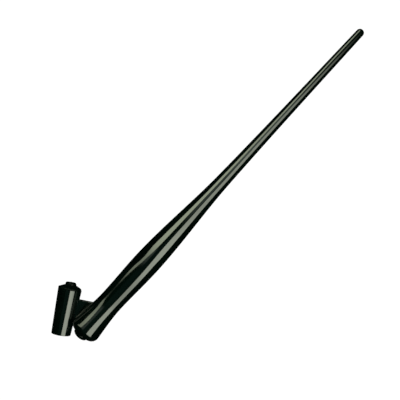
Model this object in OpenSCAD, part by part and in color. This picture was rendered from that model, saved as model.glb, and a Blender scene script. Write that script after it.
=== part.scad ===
// Oblique dip-pen holder in moulded plastic.
// A long turned-looking handle carries a nib socket beside its front end, at an angle to it.
// The holder lies on a table, on the belly of its grip, its tail and the back rim of its socket.
// +Z is up, +X runs towards the tail, and the origin is under the middle of the whole holder.

/* [Handle] */
// Length from the front face to the tip of the tail
handle_len = 194.2; // [180:0.1:210]
// Radius of the flare at the front end
flare_r = 7.24; // [6.9:0.01:7.6]
// Radius of the round edge between the flare and the front face
corner_r = 3.1; // [1:0.1:3.2]
// Radius of the waist, where the fingers rest
waist_r = 5.65; // [5.3:0.01:6]
// Distance from the front face to the waist
waist_x = 20.3; // [18:0.1:24]
// Radius of the belly of the grip
belly_r = 6.22; // [6.1:0.01:6.6]
// Distance from the front face to the belly
belly_x = 43.6; // [38:0.1:50]
// Radius of the neck, where the grip runs out into the tail
neck_r = 3.37; // [3:0.01:3.6]
// Distance from the front face to the neck
neck_x = 96.4; // [88:0.1:105]
// Radius of the tail at its tip
tip_r = 1.94; // [1.9:0.01:2.2]
// Radius of the round edge of the tip
tip_edge = 1.8; // [0.5:0.1:1.9]
// Radius of the blind hole along the middle of the grip
hollow_r = 2.4; // [2:0.1:2.6]
// Depth of that hole from the front face
hollow_depth = 70; // [40:1:75]

/* [Front plug] */
// Radius of the plug's domed head
plug_head_r = 3.6; // [2.8:0.1:3.8]
// Height of the head in front of the front face
plug_head_h = 2.3; // [1.5:0.1:3]
// Length of the plug's shank inside the handle
plug_shank = 10; // [6:1:20]

/* [Socket] */
// Angle between the socket and the handle, in degrees
socket_angle = 32.2; // [28:0.1:36]
// Distance of the middle of the socket's mouth ahead of the front face
mouth_ahead = 7.0; // [6:0.1:9]
// Distance of the middle of the socket's mouth to the side of the handle's axis
mouth_side = 6.85; // [6.3:0.05:8]
// Outer radius at the mouth
mouth_r = 4.45; // [4.35:0.05:4.8]
// Outer radius at the back rim
rim_r = 5.5; // [5.2:0.05:5.8]
// Length from the mouth to the back rim
socket_len = 21.9; // [20:0.1:24]
// Radius of the bore that a nib's shank slides into
bore_r = 3.8; // [3.8:0.01:3.95]
// Thickness of the web between the socket and the handle
web_t = 2.8; // [2:0.1:3.6]
// Distance from the mouth to the back edge of the web
web_back = 17.2; // [15:0.1:18.5]
// Distance from the handle's axis to the foot of the web's tenon
tenon_foot = 3.3; // [3:0.1:3.8]

/* [Socket core] */
// Radius of the post that stands in the bore
post_r = 3.2; // [3.1:0.01:3.2]
// Depth of the ring-shaped nib slot round the post
slot_depth = 14.6; // [12:0.1:16]
// Thickness of the core's head, behind the socket's wall
head_t = 0.8; // [0.6:0.1:2.5]
// Radius of the nub on the head
nub_r = 2.55; // [2:0.05:3]
// Height of the nub's side above the back rim
nub_h = 2.4; // [1.5:0.05:3]
// Angle of the flat cut on the nub, from the plane of the back rim, in degrees
nub_cut = 43; // [32:1:48]

/* [Hidden] */
$fn = 96;

// Slopes of the handle's outline behind the flare, at the neck and at the tip
flare_slope = -0.12;
neck_slope = -0.0284;
tip_slope = -0.0124;

// Stations of the handle's outline: distance from the front face, radius, slope
flare_turn = atan(-flare_slope);
flare_x = corner_r * (1 + sin(flare_turn));
flare_end_r = flare_r - corner_r * (1 - cos(flare_turn));
tip_x = handle_len - tip_edge;
stations = [
    [flare_x, flare_end_r, flare_slope],
    [waist_x, waist_r, 0],
    [belly_x, belly_r, 0],
    [neck_x, neck_r, neck_slope],
    [tip_x, tip_r, tip_slope],
];
// Number of conical bands between one station and the next, and round a rounded edge
bands = [12, 10, 20, 20];
edge_bands = 8;

// Small edges of the socket and its core
mouth_edge = 0.2;
lead_in = 0.4;
rim_edge = 0.35;
nub_edge = 0.5;
nub_slope = tan(7.5);
head_slope = tan(26);
// Where the cut on the nub meets the rim, measured from the rim's plane and in from its side
cut_drop = 1.25;
cut_in = 0.05;
// A length that is longer than anything it cuts
beyond = 12;

// How the holder lies: nose up on the belly and the tail, and rolled over on to the socket
rim_x = socket_len * cos(socket_angle) - mouth_ahead;
rim_y = socket_len * sin(socket_angle) + mouth_side;
pitch = asin((belly_r - tip_r) / (tip_x - belly_x));
roll = asin((belly_r + (belly_x - rim_x) * sin(pitch) - rim_r) / rim_y);
rest_height = belly_x * sin(pitch) + belly_r * cos(pitch);
centre_x = (handle_len - mouth_ahead - mouth_r * sin(socket_angle)) / 2;
centre_y = (rim_y + rim_r * cos(socket_angle) - flare_r) / 2;

// A smooth step between two stations, at the fraction t of the way from a to b
function between(a, b, t) =
    let (run = b[0] - a[0])
    a[1] * (1 + 2 * t) * (1 - t) * (1 - t)
    + b[1] * t * t * (3 - 2 * t)
    + run * a[2] * t * (1 - t) * (1 - t)
    - run * b[2] * t * t * (1 - t);

// The points of an arc, from its start angle on
function arc(middle_r, middle_x, radius, start, sweep) = [
    for (i = [0:edge_bands])
        let (angle = start + sweep * i / edge_bands)
        [middle_r + radius * cos(angle), middle_x + radius * sin(angle)]
];

function flank() = [
    for (i = [0:len(bands) - 1], j = [1:bands[i]])
        let (a = stations[i], b = stations[i + 1], t = j / bands[i])
        [between(a, b, t), a[0] + t * (b[0] - a[0])]
];

function socket_r(along) = mouth_r + (rim_r - mouth_r) * along / socket_len;

// Turns an outline of [radius, distance] points round the X axis
module turned(outline) {
    rotate([0, 90, 0])
        rotate_extrude()
            polygon(outline);
}

// A round bar along the X axis
module bar(radius, from, to) {
    translate([from, 0, 0])
        rotate([0, 90, 0])
            cylinder(r = radius, h = to - from);
}

// Moves from the socket's own axis, which starts at its mouth, to the handle's
module on_socket() {
    translate([-mouth_ahead, mouth_side, 0])
        rotate([0, 0, socket_angle])
            children();
}

// Lays the holder down on the table
module lying() {
    translate([-centre_x, -centre_y, rest_height])
        rotate([-roll, pitch, 0])
            children();
}

// The web with its tenon: its edges are the handle's front face, the tenon's foot,
// the square-cut back edge and the socket's axis
module web() {
    foot_v = (tenon_foot - mouth_side - web_back * sin(socket_angle)) / cos(socket_angle);
    foot_back = web_back * cos(socket_angle) - foot_v * sin(socket_angle) - mouth_ahead;
    axis_back = [
        web_back * cos(socket_angle) - mouth_ahead,
        web_back * sin(socket_angle) + mouth_side,
    ];
    axis_front = mouth_side + mouth_ahead * tan(socket_angle);
    translate([0, 0, -web_t / 2])
        linear_extrude(web_t)
            polygon([[0, tenon_foot], [0, axis_front], axis_back, [foot_back, tenon_foot]]);
}

module handle() {
    color("#101412")
        lying()
            difference() {
                turned(concat(
                    [[0, 0]],
                    arc(flare_r - corner_r, corner_r, corner_r, -90, 90 + flare_turn),
                    flank(),
                    arc(tip_r - tip_edge, tip_x, tip_edge, 0, 90),
                    [[0, handle_len]]
                ));
                bar(hollow_r, -1, hollow_depth);
                web();
            }
}

module socket_flange() {
    color("#0d1210")
        lying()
            difference() {
                union() {
                    on_socket()
                        turned([
                            [0, 0],
                            [mouth_r, 0],
                            [socket_r(socket_len - head_t), socket_len - head_t],
                            [0, socket_len - head_t],
                        ]);
                    web();
                }
                on_socket() {
                    bar(bore_r, -1, socket_len);
                    turned([[0, 0], [bore_r + mouth_edge, 0], [bore_r, mouth_edge], [0, mouth_edge]]);
                }
            }
}

module socket_core() {
    head_x = socket_len - head_t;
    top_r = rim_r - rim_edge;
    nub_foot = socket_len + (top_r - nub_r) * head_slope;
    nub_top = socket_len + nub_h;
    color("#121715")
        lying()
            on_socket()
                difference() {
                    turned(concat(
                        [
                            [0, lead_in],
                            [post_r - lead_in, lead_in],
                            [post_r, 2 * lead_in],
                            [post_r, slot_depth],
                            [bore_r, slot_depth],
                            [bore_r, head_x],
                            [socket_r(head_x), head_x],
                        ],
                        arc(top_r, socket_len - rim_edge, rim_edge, 0, 90),
                        [[nub_r, nub_foot]],
                        arc(nub_r - nub_edge, nub_top - nub_edge, nub_edge, 0, 90),
                        [[0, nub_top + (nub_r - nub_edge) * nub_slope]]
                    ));
                    translate([socket_len - cut_drop, cut_in - rim_r, 0])
                        rotate([0, 0, -nub_cut])
                            translate([0, -beyond, -beyond])
                                cube([beyond, 2 * beyond, 2 * beyond]);
                }
}

module front_plug() {
    // The head is a short cylinder under half of an ellipse
    side_h = plug_head_h * 0.3;
    dome_h = plug_head_h - side_h;
    dome = [
        for (i = [0:edge_bands])
            let (angle = 90 * i / edge_bands)
            [plug_head_r * sin(angle), -side_h - dome_h * cos(angle)]
    ];
    color("#0f1311")
        lying()
            turned(concat(
                dome,
                [[plug_head_r, 0], [hollow_r, 0], [hollow_r, plug_shank], [0, plug_shank]]
            ));
}

handle();
socket_flange();
socket_core();
front_plug();
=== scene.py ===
"""The looks of an oblique dip-pen holder in black moulded plastic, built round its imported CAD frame.

The sizes below are millimetres. The handle's own frame has X = 0 at its front face, +X towards the
tail and +Y towards the socket. LYING takes that frame to the row frame, and ON_SOCKET the socket's.
"""

import math

import bmesh
import bpy
from mathutils import Matrix, Vector


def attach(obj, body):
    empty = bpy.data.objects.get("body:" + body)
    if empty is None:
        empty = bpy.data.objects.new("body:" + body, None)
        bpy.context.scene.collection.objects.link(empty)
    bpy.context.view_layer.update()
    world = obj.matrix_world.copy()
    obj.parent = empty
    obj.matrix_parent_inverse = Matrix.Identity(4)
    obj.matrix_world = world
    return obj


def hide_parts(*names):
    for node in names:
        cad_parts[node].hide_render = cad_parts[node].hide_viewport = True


MM = 0.001

# Handle
HANDLE_LEN = 194.2
FLARE_R, CORNER_R, FLARE_SLOPE = 7.24, 3.1, -0.12
WAIST_X, WAIST_R = 20.3, 5.65
BELLY_X, BELLY_R = 43.6, 6.22
NECK_X, NECK_R, NECK_SLOPE = 96.4, 3.37, -0.0284
TIP_R, TIP_EDGE, TIP_SLOPE = 1.94, 1.8, -0.0124
TIP_X = HANDLE_LEN - TIP_EDGE
HOLLOW_R, HOLLOW_DEPTH = 2.4, 70.0
FLARE_TURN = math.atan(-FLARE_SLOPE)
FLARE_X = CORNER_R * (1 + math.sin(FLARE_TURN))
FLARE_END_R = FLARE_R - CORNER_R * (1 - math.cos(FLARE_TURN))

# Front plug
HEAD_R, HEAD_H, SHANK = 3.6, 2.3, 10.0

# Socket, web and core
SOCKET_ANGLE = math.radians(32.2)
MOUTH_AHEAD, MOUTH_SIDE = 7.0, 6.85
MOUTH_R, RIM_R, SOCKET_LEN = 4.45, 5.5, 21.9
BORE_R, MOUTH_EDGE = 3.8, 0.2
WEB_T, WEB_BACK = 2.8, 17.2
POST_R, LEAD_IN, SLOT_DEPTH = 3.2, 0.4, 14.6
CORE_HEAD_T, RIM_EDGE, HEAD_SLOPE = 0.8, 0.35, math.tan(math.radians(26))
NUB_R, NUB_H, NUB_EDGE, NUB_SLOPE = 2.55, 2.4, 0.5, math.tan(math.radians(7.5))
CUT_ANGLE, CUT_DROP, CUT_IN = math.radians(43), 1.25, 0.05
WALL_LEN = SOCKET_LEN - CORE_HEAD_T

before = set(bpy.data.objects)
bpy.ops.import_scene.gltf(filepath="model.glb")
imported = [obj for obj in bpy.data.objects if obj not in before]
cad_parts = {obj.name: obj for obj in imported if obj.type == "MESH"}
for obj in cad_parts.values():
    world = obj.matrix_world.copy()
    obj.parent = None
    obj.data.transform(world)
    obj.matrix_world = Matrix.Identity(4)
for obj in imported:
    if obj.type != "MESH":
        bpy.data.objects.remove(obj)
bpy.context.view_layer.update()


def lying():
    """The handle's frame as it lies: on its belly, its tail and the back rim of its socket."""
    rim_x = SOCKET_LEN * math.cos(SOCKET_ANGLE) - MOUTH_AHEAD
    rim_y = SOCKET_LEN * math.sin(SOCKET_ANGLE) + MOUTH_SIDE
    pitch = math.asin((BELLY_R - TIP_R) / (TIP_X - BELLY_X))
    roll = math.asin((BELLY_R + (BELLY_X - rim_x) * math.sin(pitch) - RIM_R) / rim_y)
    height = BELLY_X * math.sin(pitch) + BELLY_R * math.cos(pitch)
    centre_x = (HANDLE_LEN - MOUTH_AHEAD - MOUTH_R * math.sin(SOCKET_ANGLE)) / 2
    centre_y = (rim_y + RIM_R * math.cos(SOCKET_ANGLE) - FLARE_R) / 2
    turn = Matrix.Rotation(pitch, 4, "Y") @ Matrix.Rotation(-roll, 4, "X")
    return Matrix.Scale(MM, 4) @ Matrix.Translation((-centre_x, -centre_y, height)) @ turn


LYING = lying()
TO_SOCKET = Matrix.Translation((-MOUTH_AHEAD, MOUTH_SIDE, 0)) @ Matrix.Rotation(SOCKET_ANGLE, 4, "Z")
ON_SOCKET = LYING @ TO_SOCKET


# Outlines ---------------------------------------------------------------------------------------

def arc(middle_x, middle_r, size_x, size_r, start, end, steps):
    """Points of an arc in an outline, as (distance, radius). Angle 0 points outwards, 90 forwards."""
    points = []
    for i in range(steps + 1):
        angle = math.radians(start + (end - start) * i / steps)
        points.append((middle_x + size_x * math.sin(angle), middle_r + size_r * math.cos(angle)))
    return points


def between(r0, s0, r1, s1, run, t):
    """A smooth step between two radii with two slopes, at the fraction t of the run between them."""
    step = r0 * (1 + 2 * t) * (1 - t) ** 2 + r1 * t * t * (3 - 2 * t)
    return step + run * (s0 * t * (1 - t) ** 2 - s1 * t * t * (1 - t))


def flank(step):
    """The handle's outline from its flare to its tip, smooth through its stations."""
    stations = [
        (FLARE_X, FLARE_END_R, FLARE_SLOPE),
        (WAIST_X, WAIST_R, 0.0),
        (BELLY_X, BELLY_R, 0.0),
        (NECK_X, NECK_R, NECK_SLOPE),
        (TIP_X, TIP_R, TIP_SLOPE),
    ]
    points = []
    for (x0, r0, s0), (x1, r1, s1) in zip(stations, stations[1:]):
        run = x1 - x0
        count = math.ceil(run / step)
        for i in range(1, count + 1):
            t = i / count
            points.append((x0 + run * t, between(r0, s0, r1, s1, run, t)))
    return points


def handle_r(x):
    """The handle's radius at a distance from its front face, where the web joins it."""
    if x < FLARE_X:
        return FLARE_R - CORNER_R + math.sqrt(max(CORNER_R ** 2 - (CORNER_R - x) ** 2, 0))
    run = WAIST_X - FLARE_X
    return between(FLARE_END_R, FLARE_SLOPE, WAIST_R, 0.0, run, (x - FLARE_X) / run)


def socket_r(x):
    return MOUTH_R + (RIM_R - MOUTH_R) * x / SOCKET_LEN


# Meshes -----------------------------------------------------------------------------------------

def to_object(name, bm, place):
    """A finished mesh in the row frame, smooth apart from its real edges."""
    sharp_from = math.radians(28)
    bmesh.ops.remove_doubles(bm, verts=bm.verts, dist=1e-5)
    bmesh.ops.recalc_face_normals(bm, faces=bm.faces)
    bm.transform(place)
    mesh = bpy.data.meshes.new(name)
    bm.to_mesh(mesh)
    bm.free()
    mesh.shade_smooth()
    mesh.set_sharp_from_angle(angle=sharp_from)
    piece = bpy.data.objects.new(name, mesh)
    bpy.context.scene.collection.objects.link(piece)
    return piece


def turn(bm, outline, around=144, ring=False):
    """Turns an outline of (distance, radius) points round the X axis. A ring has no ends on it."""
    rows = []
    for x, r in outline:
        if r < 1e-6:
            rows.append([bm.verts.new((x, 0, 0))] * around)
            continue
        angles = [2 * math.pi * k / around for k in range(around)]
        rows.append([bm.verts.new((x, r * math.cos(a), r * math.sin(a))) for a in angles])
    pairs = list(zip(rows, rows[1:]))
    if ring:
        pairs.append((rows[-1], rows[0]))
    for low, high in pairs:
        for k in range(around):
            after = (k + 1) % around
            corners = [low[k], low[after], high[after], high[k]]
            unique = [v for i, v in enumerate(corners) if v not in corners[:i]]
            if len(unique) > 2:
                bm.faces.new(unique)


def smooth(t):
    """A smooth step from 0 to 1 that stays at either end."""
    t = min(max(t, 0), 1)
    return t ** 2 * (3 - 2 * t)


def sink(point):
    """How far the thick grip's skin has sunk while it cooled, along its top and its bottom: part of
    the depth at the front, all of it at the waist, and nothing past the belly."""
    depth, front_share, width = 0.36, 0.75, math.radians(20)
    rise_from, rise_over = 3, 15
    fall_to, fall_over = 62, 26
    rise = smooth((point.x - rise_from) / rise_over)
    fall = smooth((fall_to - point.x) / fall_over)
    along = (front_share + (1 - front_share) * rise) * fall
    off = math.atan2(abs(point.y), abs(point.z))
    return depth * along * math.exp(-0.5 * (off / width) ** 2)


def handle():
    skin_from = HOLLOW_R + 1
    outline = [(HOLLOW_DEPTH, 0), (HOLLOW_DEPTH, HOLLOW_R), (0, HOLLOW_R)]
    outline += arc(CORNER_R, FLARE_R - CORNER_R, CORNER_R, CORNER_R, -90, math.degrees(FLARE_TURN), 20)
    outline += flank(step=0.8)
    outline += arc(TIP_X, TIP_R - TIP_EDGE, TIP_EDGE, TIP_EDGE, 4, 90, 12)
    outline += [(HANDLE_LEN, 0)]
    bm = bmesh.new()
    turn(bm, outline)
    for vert in bm.verts:
        if vert.co.yz.length > skin_from:
            vert.co.yz *= 1 - sink(vert.co) / vert.co.yz.length
    return to_object("handle_body", bm, LYING)


def front_plug():
    bevel = 0.08
    side_h = 0.3 * HEAD_H
    dome_h = HEAD_H - side_h
    outline = [(-HEAD_H, 0)] + arc(-side_h, 0, dome_h, HEAD_R, -87, 0, 20)
    outline += [(-bevel, HEAD_R), (0, HEAD_R - bevel), (0, HOLLOW_R), (SHANK, HOLLOW_R), (SHANK, 0)]
    bm = bmesh.new()
    turn(bm, outline, around=96)
    return to_object("front_plug_dome", bm, LYING)


def socket_core():
    """The post, its root, and the head with its nub, which is cut square to the handle."""
    seam = 0.1
    top_r = RIM_R - RIM_EDGE
    nub_foot = SOCKET_LEN + (top_r - NUB_R) * HEAD_SLOPE
    nub_top = SOCKET_LEN + NUB_H
    outline = [(LEAD_IN, 0), (LEAD_IN, POST_R - LEAD_IN), (2 * LEAD_IN, POST_R), (SLOT_DEPTH, POST_R)]
    outline += [(SLOT_DEPTH, BORE_R), (WALL_LEN, BORE_R)]
    outline += [(WALL_LEN, socket_r(WALL_LEN) - seam), (WALL_LEN + seam, socket_r(WALL_LEN))]
    outline += arc(SOCKET_LEN - RIM_EDGE, top_r, RIM_EDGE, RIM_EDGE, 0, 90, 8)
    outline += [(nub_foot, NUB_R)]
    outline += arc(nub_top - NUB_EDGE, NUB_R - NUB_EDGE, NUB_EDGE, NUB_EDGE, 0, 90, 8)
    outline += [(nub_top + (NUB_R - NUB_EDGE) * NUB_SLOPE, 0)]
    bm = bmesh.new()
    turn(bm, outline)
    bmesh.ops.remove_doubles(bm, verts=bm.verts, dist=1e-5)
    cut = bmesh.ops.bisect_plane(
        bm,
        geom=bm.verts[:] + bm.edges[:] + bm.faces[:],
        plane_co=(SOCKET_LEN - CUT_DROP, CUT_IN - RIM_R, 0),
        plane_no=(math.cos(CUT_ANGLE), -math.sin(CUT_ANGLE), 0),
        clear_outer=True,
    )
    rim = [e for e in cut["geom_cut"] if isinstance(e, bmesh.types.BMEdge)]
    bmesh.ops.edgenet_fill(bm, edges=rim)
    return to_object("socket_core_body", bm, ON_SOCKET)


def wall(bm):
    """The socket's tapered wall, with a small round at its mouth and a bevel at the core's seam."""
    seam, lip = 0.1, 0.15
    outline = arc(lip, MOUTH_R - lip, lip, lip, -90, 0, 5)
    outline += [(WALL_LEN * i / 24, socket_r(WALL_LEN * i / 24)) for i in range(1, 24)]
    outline += [(WALL_LEN - seam, socket_r(WALL_LEN)), (WALL_LEN, socket_r(WALL_LEN) - seam)]
    outline += [(WALL_LEN, BORE_R), (MOUTH_EDGE, BORE_R), (0, BORE_R + MOUTH_EDGE)]
    turn(bm, outline, ring=True)


def rib(share, half):
    """One section across the web, from inside the wall to inside the handle, as points in the
    handle's frame. share runs from 0 at the web's front edge to 1 at its back, and half is the web's
    half height there. The rows along both sides meet their fillets, which takes a few passes to find."""
    fillet, buried, steps, passes = 0.015, 0.35, 2, 6
    z = half + fillet

    def lift(radius):
        """Where a fillet that touches the web at this half height also touches a round of radius."""
        return math.sqrt((radius + fillet) ** 2 - z * z)

    front_x = WEB_BACK * 0.3
    for _ in range(passes):
        side = lift(socket_r(front_x))
        front_x = (MOUTH_AHEAD - side * math.sin(SOCKET_ANGLE)) / math.cos(SOCKET_ANGLE)
    along = front_x + (WEB_BACK - front_x) * share
    radius = socket_r(along)
    middle = lift(radius)
    start = math.atan2(z, middle)
    inside = radius - buried
    points = [TO_SOCKET @ Vector((along, -inside * math.cos(start), inside * math.sin(start)))]
    for i in range(steps + 1):
        angle = start + (math.pi / 2 - start) * i / steps
        out = Vector((along, -middle + fillet * math.cos(angle), z - fillet * math.sin(angle)))
        points.append(TO_SOCKET @ out)
    back_x = WAIST_X * 0.8
    for _ in range(passes):
        side = lift(handle_r(back_x))
        run = (side - MOUTH_SIDE - WEB_BACK * math.sin(SOCKET_ANGLE)) / math.cos(SOCKET_ANGLE)
        back_x = WEB_BACK * math.cos(SOCKET_ANGLE) - run * math.sin(SOCKET_ANGLE) - MOUTH_AHEAD
    x = back_x * share
    radius = handle_r(x)
    middle = lift(radius)
    start = math.atan2(z, middle)
    for i in range(steps + 1):
        angle = math.pi / 2 + (start - math.pi / 2) * i / steps
        points.append(Vector((x, middle - fillet * math.cos(angle), z - fillet * math.sin(angle))))
    inside = radius - buried
    points.append(Vector((x, inside * math.cos(start), inside * math.sin(start))))
    return points


def web(bm):
    """The flat web, as one closed shell whose sides run into the wall and the handle. edge is the
    round along its front and its back, in as many steps as turns."""
    edge, ribs, turns = 0.06, 40, 4
    length = WEB_BACK - MOUTH_AHEAD
    inset = edge / length
    rounds = [math.radians(90 * i / turns) for i in range(turns)]
    sections = [(inset * (1 - math.cos(a)), WEB_T / 2 - edge * (1 - math.sin(a))) for a in rounds]
    sections += [(inset + (1 - 2 * inset) * i / ribs, WEB_T / 2) for i in range(ribs + 1)]
    sections += [(1 - share, half) for share, half in sections[turns - 1::-1]]
    rows = []
    for share, half in sections:
        upper = rib(share, half)
        lower = [Vector((p.x, p.y, -p.z)) for p in reversed(upper)]
        rows.append([bm.verts.new(p) for p in upper + lower])
    size = len(rows[0])
    for low, high in zip(rows, rows[1:]):
        for k in range(size):
            after = (k + 1) % size
            bm.faces.new([low[k], low[after], high[after], high[k]])
    half_size = size // 2
    for row in (rows[0], rows[-1]):
        for k in range(half_size - 1):
            bm.faces.new([row[k], row[k + 1], row[size - 2 - k], row[size - 1 - k]])


def socket_flange():
    bm = bmesh.new()
    wall(bm)
    bm.transform(TO_SOCKET)
    web(bm)
    return to_object("socket_flange_body", bm, LYING)


# Materials --------------------------------------------------------------------------------------

def plastic(name, dark, light, roughness, shine):
    """Black moulded plastic: a faint change of tint, soft smudges, fine marks along the holder, and
    the slight ripple of a moulded skin."""
    material = bpy.data.materials.new(name)
    material.use_nodes = True
    nodes, links = material.node_tree.nodes, material.node_tree.links
    shader = nodes["Principled BSDF"]
    shader.inputs["IOR"].default_value = 1.5
    shader.inputs["Specular IOR Level"].default_value = shine

    where = nodes.new("ShaderNodeTexCoord")

    def noise(scale, detail, stretch=(1, 1, 1)):
        mapping = nodes.new("ShaderNodeMapping")
        mapping.inputs["Scale"].default_value = stretch
        links.new(where.outputs["Object"], mapping.inputs["Vector"])
        texture = nodes.new("ShaderNodeTexNoise")
        texture.inputs["Scale"].default_value = scale
        texture.inputs["Detail"].default_value = detail
        links.new(mapping.outputs["Vector"], texture.inputs["Vector"])
        return texture.outputs["Fac"]

    def spread(value, low, high, to_low, to_high):
        node = nodes.new("ShaderNodeMapRange")
        node.inputs["From Min"].default_value = low
        node.inputs["From Max"].default_value = high
        node.inputs["To Min"].default_value = to_low
        node.inputs["To Max"].default_value = to_high
        links.new(value, node.inputs["Value"])
        return node.outputs["Result"]

    tint = nodes.new("ShaderNodeMix")
    tint.data_type = "RGBA"
    tint.inputs["A"].default_value = (*dark, 1)
    tint.inputs["B"].default_value = (*light, 1)
    links.new(spread(noise(90, 3), 0.35, 0.65, 0, 1), tint.inputs["Factor"])
    links.new(tint.outputs["Result"], shader.inputs["Base Color"])

    smudge = spread(noise(70, 4), 0.4, 0.7, 0, 0.03)
    marks = spread(noise(700, 2, (0.03, 1, 1)), 0.62, 0.8, roughness, roughness + 0.12)
    total = nodes.new("ShaderNodeMath")
    links.new(smudge, total.inputs[0])
    links.new(marks, total.inputs[1])
    links.new(total.outputs["Value"], shader.inputs["Roughness"])

    ripple = nodes.new("ShaderNodeBump")
    ripple.inputs["Strength"].default_value = 0.35
    ripple.inputs["Distance"].default_value = 0.00001
    links.new(noise(420, 2), ripple.inputs["Height"])
    links.new(ripple.outputs["Normal"], shader.inputs["Normal"])
    return material


def wear(piece, material):
    piece.data.materials.clear()
    piece.data.materials.append(material)


# Light and camera -------------------------------------------------------------------------------

def panel(name, way, rows, colour, radiance):
    """A curved light panel, half a metre from the handle. Each row across it is its distance along X
    in metres, the angles of its two edges from straight up, and its share of the radiance."""
    reach, steps = 0.5, 12
    middle = LYING @ Vector((BELLY_X, 0, 0))
    bm = bmesh.new()
    share = bm.verts.layers.float.new("share")
    strips = []
    for x, near, far, bright in rows:
        strip = []
        for i in range(steps + 1):
            angle = math.radians(near + (far - near) * i / steps)
            y = middle.y + way * reach * math.sin(angle)
            vert = bm.verts.new((x, y, middle.z + reach * math.cos(angle)))
            vert[share] = bright
            strip.append(vert)
        strips.append(strip)
    for low, high in zip(strips, strips[1:]):
        for k in range(steps):
            bm.faces.new([low[k], low[k + 1], high[k + 1], high[k]])
    mesh = bpy.data.meshes.new(name)
    bm.to_mesh(mesh)
    bm.free()
    material = bpy.data.materials.new(name)
    material.use_nodes = True
    nodes, links = material.node_tree.nodes, material.node_tree.links
    nodes.clear()
    reading = nodes.new("ShaderNodeAttribute")
    reading.attribute_name = "share"
    level = nodes.new("ShaderNodeMath")
    level.operation = "MULTIPLY"
    level.inputs[1].default_value = radiance
    emission = nodes.new("ShaderNodeEmission")
    emission.inputs["Color"].default_value = (*colour, 1)
    output = nodes.new("ShaderNodeOutputMaterial")
    links.new(reading.outputs["Fac"], level.inputs[0])
    links.new(level.outputs["Value"], emission.inputs["Strength"])
    links.new(emission.outputs["Emission"], output.inputs["Surface"])
    mesh.materials.append(material)
    light = bpy.data.objects.new(name, mesh)
    light.visible_camera = False
    bpy.context.scene.collection.objects.link(light)


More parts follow.
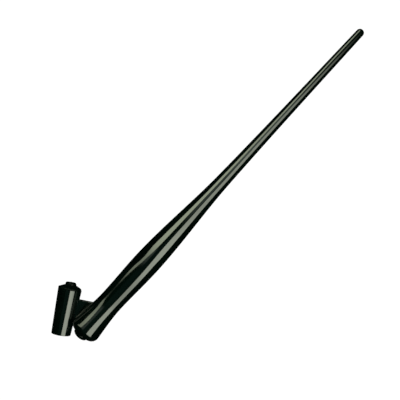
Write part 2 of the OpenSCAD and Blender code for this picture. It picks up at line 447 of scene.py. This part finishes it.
def lights():
    """Two long panels beside the handle, brightest over its middle, a narrow dim one between them, and
    a weak light overhead."""
    panel("panel_grip_side", -1, (
        (-0.24, 22, 64, 0.8),
        (-0.18, 23, 65, 0.66),
        (-0.13, 20, 63, 0.95),
        (-0.09, 19, 60, 0.95),
        (-0.05, 17, 65, 1.0),
        (0.00, 17, 64, 1.0),
        (0.07, 16, 60, 0.78),
        (0.12, 11, 52, 0.78),
        (0.17, 5, 48, 0.7),
        (0.22, 5, 48, 0.56),
        (0.28, 6, 48, 0.34),
        (0.30, 6, 48, 0.24),
        (0.32, 8, 48, 0.09),
        (0.35, 8, 48, 0.02),
    ), (0.93, 1.0, 0.82), 7.1)
    panel("panel_socket_side", 1, (
        (-0.178, 47, 60, 0.0),
        (-0.165, 46, 62, 0.22),
        (-0.150, 42, 61, 0.45),
        (-0.13, 34, 58, 0.5),
        (-0.11, 28, 50, 0.5),
        (-0.085, 25, 48, 0.54),
        (-0.05, 21, 62, 0.84),
        (0.00, 21, 62, 1.0),
        (0.07, 24, 60, 0.98),
        (0.12, 24, 57, 0.88),
        (0.17, 24, 57, 0.78),
        (0.22, 28, 60, 0.85),
        (0.32, 36, 66, 0.75),
        (0.45, 36, 66, 0.6),
    ), (0.90, 1.0, 0.73), 7.1)
    panel("panel_between", 1, (
        (-0.125, 10, 30, 0.0),
        (-0.10, 10, 28, 0.08),
        (-0.06, 10, 22, 0.08),
        (-0.04, 10, 20, 0.0),
        (0.05, -5, 20, 0.0),
        (0.12, -6, 22, 0.2),
        (0.20, -6, 22, 0.16),
        (0.265, -4, 20, 0.03),
        (0.29, -4, 20, 0.0),
    ), (0.8, 1.0, 0.86), 7.1)
    sheet = bpy.data.lights.new("overhead_fill", "AREA")
    sheet.shape = "RECTANGLE"
    sheet.size, sheet.size_y = 1.6, 1.0
    sheet.energy = 0.3
    sheet.color = (0.5, 1.0, 0.9)
    lamp = bpy.data.objects.new("overhead_fill", sheet)
    lamp.location = (0, 0, 1.6)
    bpy.context.scene.collection.objects.link(lamp)


def floor():
    """A plain pale floor. It and the backdrop give the black plastic nothing to mirror."""
    bpy.ops.mesh.primitive_plane_add(size=12)
    plane = bpy.context.object
    plane.name = "floor"
    plane.visible_glossy = False
    material = bpy.data.materials.new("pale_floor")
    material.use_nodes = True
    shader = material.node_tree.nodes["Principled BSDF"]
    shader.inputs["Base Color"].default_value = (0.05, 0.05, 0.05, 1)
    shader.inputs["Roughness"].default_value = 1.0
    shader.inputs["Specular IOR Level"].default_value = 0.0
    shader.inputs["Emission Color"].default_value = (1, 1, 1, 1)
    shader.inputs["Emission Strength"].default_value = 1.0
    plane.data.materials.append(material)


def backdrop():
    world = bpy.data.worlds.new("pale_studio")
    world.use_nodes = True
    world.node_tree.nodes["Background"].inputs["Color"].default_value = (1, 1, 1, 1)
    bpy.context.scene.world = world
    for kind in ("diffuse", "glossy", "transmission", "scatter"):
        setattr(world.cycles_visibility, kind, False)
    bpy.context.scene.view_settings.view_transform = "Standard"


def camera():
    """Nearly straight down, with the handle running up to the right."""
    data = bpy.data.cameras.new("camera")
    data.lens = 50.86
    data.sensor_width = 36.0
    data.clip_start = 0.01
    eye = bpy.data.objects.new("camera", data)
    eye.location = (-0.00912, -0.00668, 0.26992)
    eye.rotation_euler = (-0.0003, 0.0026, -0.8235)
    bpy.context.scene.collection.objects.link(eye)
    bpy.context.scene.camera = eye


gloss = plastic("gloss_black_plastic", (0.0002, 0.0013, 0.0009), (0.0005, 0.0022, 0.0016), 0.05, 0.5)
duller = plastic("core_black_plastic", (0.0004, 0.0014, 0.0010), (0.0010, 0.0025, 0.0018), 0.35, 0.06)

for make, node, slot, material in (
    (handle, "handle", "handle_plastic", gloss),
    (socket_flange, "socket_flange", "flange_plastic", gloss),
    (socket_core, "socket_core", "core_plastic", duller),
    (front_plug, "front_plug", "plug_plastic", gloss),
):
    piece = make()
    wear(piece, material)
    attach(piece, "root")
    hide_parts(node)

floor()
backdrop()
lights()
camera()
